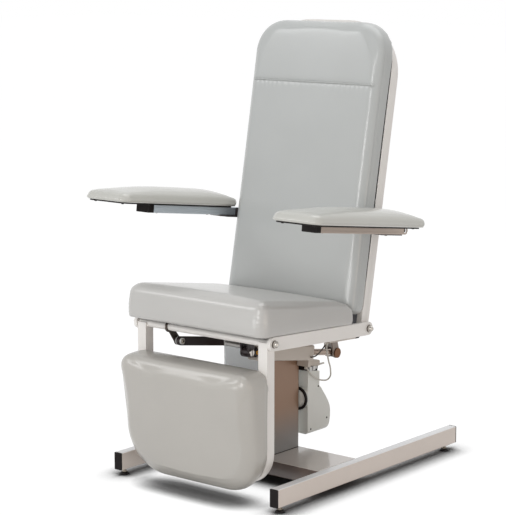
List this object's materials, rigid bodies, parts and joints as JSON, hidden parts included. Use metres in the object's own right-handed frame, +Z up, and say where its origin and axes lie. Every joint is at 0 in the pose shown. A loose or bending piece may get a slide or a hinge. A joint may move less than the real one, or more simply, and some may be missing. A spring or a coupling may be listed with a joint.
{
  "type": "phlebotomy chair",
  "caption": "Powered blood-draw chair: lifting column on an H base, padded seat, reclining back with linked leg rest, flip-up padded arms.",
  "frame": {"origin": "on the floor, centre of the whole chair's bounding box", "axes": "+Z up, the sitter faces -Y, +X is the sitter's left"},
  "size_m": [0.9398, 1.0173, 1.4197],
  "materials": {
    "arm_metal": "satin anodised aluminium profile",
    "arm_vinyl": "light grey vinyl upholstery with a soft sheen",
    "base_paint": "light warm grey powder coat, satin",
    "beige_plastic": "beige moulded plastic",
    "black_plastic": "black moulded plastic",
    "board_wood": "plywood panel under the upholstery",
    "bolt_chrome": "bright zinc or chrome hardware",
    "column_metal": "satin anodised profile that mirrors the room softly",
    "crossbar_paint": "grey painted steel",
    "dark_cable": "dark thin cable",
    "dark_steel": "near-black painted steel",
    "eye_steel": "bright steel eye",
    "foot_rubber": "black levelling foot",
    "frame_paint": "light warm grey powder coat, satin",
    "gasket_rubber": "dark gasket",
    "grey_plastic": "light grey moulded plastic",
    "inner_column": "satin anodised profile",
    "leg_vinyl": "light grey vinyl upholstery with a soft sheen",
    "motor_metal": "dark grey motor casing",
    "pale_cable": "pale cable and boot",
    "rod_chrome": "polished rod and tube",
    "vinyl": "light grey vinyl upholstery with a soft sheen",
    "white_nylon": "white washers and pin"
  },
  "bodies": {
    "base": {"runner_left": "base_paint", "runner_right": "base_paint", "cross_member": "base_paint", "runner_end_caps": "black_plastic", "column_gasket": "gasket_rubber", "column_outer": "column_metal", "lift_motor": "motor_metal"},
    "foot_fl": {"foot_front_left": "foot_rubber"},
    "foot_fr": {"foot_front_right": "foot_rubber"},
    "foot_rl": {"foot_rear_left": "foot_rubber"},
    "foot_rr": {"foot_rear_right": "foot_rubber"},
    "column_mid": {"column_middle": "inner_column"},
    "seat": {"column_inner": "inner_column", "lift_push_tube": "rod_chrome", "column_head": "frame_paint", "seat_cross_beams": "frame_paint", "seat_rail_left": "frame_paint", "seat_rail_right": "frame_paint", "seat_board": "board_wood", "seat_cushion": "vinyl", "pivot_bolts": "bolt_chrome", "pivot_dome_nuts": "bolt_chrome", "actuator_bracket": "frame_paint", "actuator_front_pin": "bolt_chrome", "actuator_front_eye": "dark_steel", "actuator_casing": "beige_plastic", "actuator_gearbox": "beige_plastic", "motor_housing": "grey_plastic", "motor_end_ring": "black_plastic", "connector_block": "black_plastic", "cable_boot": "pale_cable", "control_box": "beige_plastic", "control_box_cover": "black_plastic", "control_cable": "pale_cable", "sensor_cable": "dark_cable"},
    "rod": {"piston_rod": "rod_chrome", "rod_eye": "eye_steel", "rod_pin": "bolt_chrome"},
    "back": {"back_frame": "frame_paint", "back_crossbar": "crossbar_paint", "back_lugs": "frame_paint", "back_link_pin": "bolt_chrome", "back_board": "board_wood", "back_cushion": "vinyl", "arm_bracket_left": "dark_steel", "arm_bracket_right": "dark_steel", "arm_pivot_bolts": "eye_steel"},
    "link": {"link_bar": "dark_steel"},
    "leg": {"leg_axle_tube": "frame_paint", "leg_frame": "frame_paint", "leg_lug": "frame_paint", "leg_link_pin": "white_nylon", "leg_board": "board_wood", "leg_cushion": "leg_vinyl"},
    "arm_left": {"arm_rail_left": "arm_metal", "arm_board_left": "black_plastic", "arm_cushion_left": "arm_vinyl"},
    "arm_right": {"arm_rail_right": "arm_metal", "arm_board_right": "black_plastic", "arm_cushion_right": "arm_vinyl"}
  },
  "joints": [
    {"name": "lift", "type": "slide", "parent": "base", "child": "seat", "axis": [0, 0, 1], "range_m": [0, 0.25]},
    {"name": "column_mid_slide", "type": "slide", "parent": "base", "child": "column_mid", "axis": [0, 0, 1], "range_m": [0, 0.125]},
    {"name": "back_recline", "type": "hinge", "parent": "seat", "child": "back", "pos_m": [0, 0.08547, 0.46798], "axis": [-1, 0, 0], "range_deg": [0, 50]},
    {"name": "leg_raise", "type": "hinge", "parent": "seat", "child": "leg", "pos_m": [0, -0.3875, 0.496], "axis": [-1, 0, 0], "range_deg": [0, 80]},
    {"name": "rod_slide", "type": "slide", "parent": "seat", "child": "rod", "axis": [0, -0.9858, 0.1682], "range_m": [0, 0.09]},
    {"name": "link_swing", "type": "hinge", "parent": "back", "child": "link", "pos_m": [-0.1305, 0.09167, 0.37118], "axis": [-1, 0, 0], "range_deg": [-54, 0]},
    {"name": "arm_left_lift", "type": "hinge", "parent": "back", "child": "arm_left", "pos_m": [0.3306, 0.15434, 0.7786], "axis": [-1, 0, 0], "range_deg": [0, 93]},
    {"name": "arm_right_lift", "type": "hinge", "parent": "back", "child": "arm_right", "pos_m": [-0.3306, 0.15434, 0.7786], "axis": [-1, 0, 0], "range_deg": [0, 93]},
    {"name": "foot_screw_fl", "type": "slide", "parent": "base", "child": "foot_fl", "axis": [0, 0, -1], "range_m": [0, 0.012]},
    {"name": "foot_screw_fr", "type": "slide", "parent": "base", "child": "foot_fr", "axis": [0, 0, -1], "range_m": [0, 0.012]},
    {"name": "foot_screw_rl", "type": "slide", "parent": "base", "child": "foot_rl", "axis": [0, 0, -1], "range_m": [0, 0.012]},
    {"name": "foot_screw_rr", "type": "slide", "parent": "base", "child": "foot_rr", "axis": [0, 0, -1], "range_m": [0, 0.012]}
  ],
  "couplings": [
    {"joint": "column_mid_slide", "follows": "lift", "ratio": 0.5},
    {"joint": "leg_raise", "follows": "back_recline", "ratio": 1.6},
    {"joint": "rod_slide", "follows": "back_recline", "m_per_rad": 0.10214},
    {"joint": "link_swing", "follows": "back_recline", "ratio": -1.067}
  ]
}
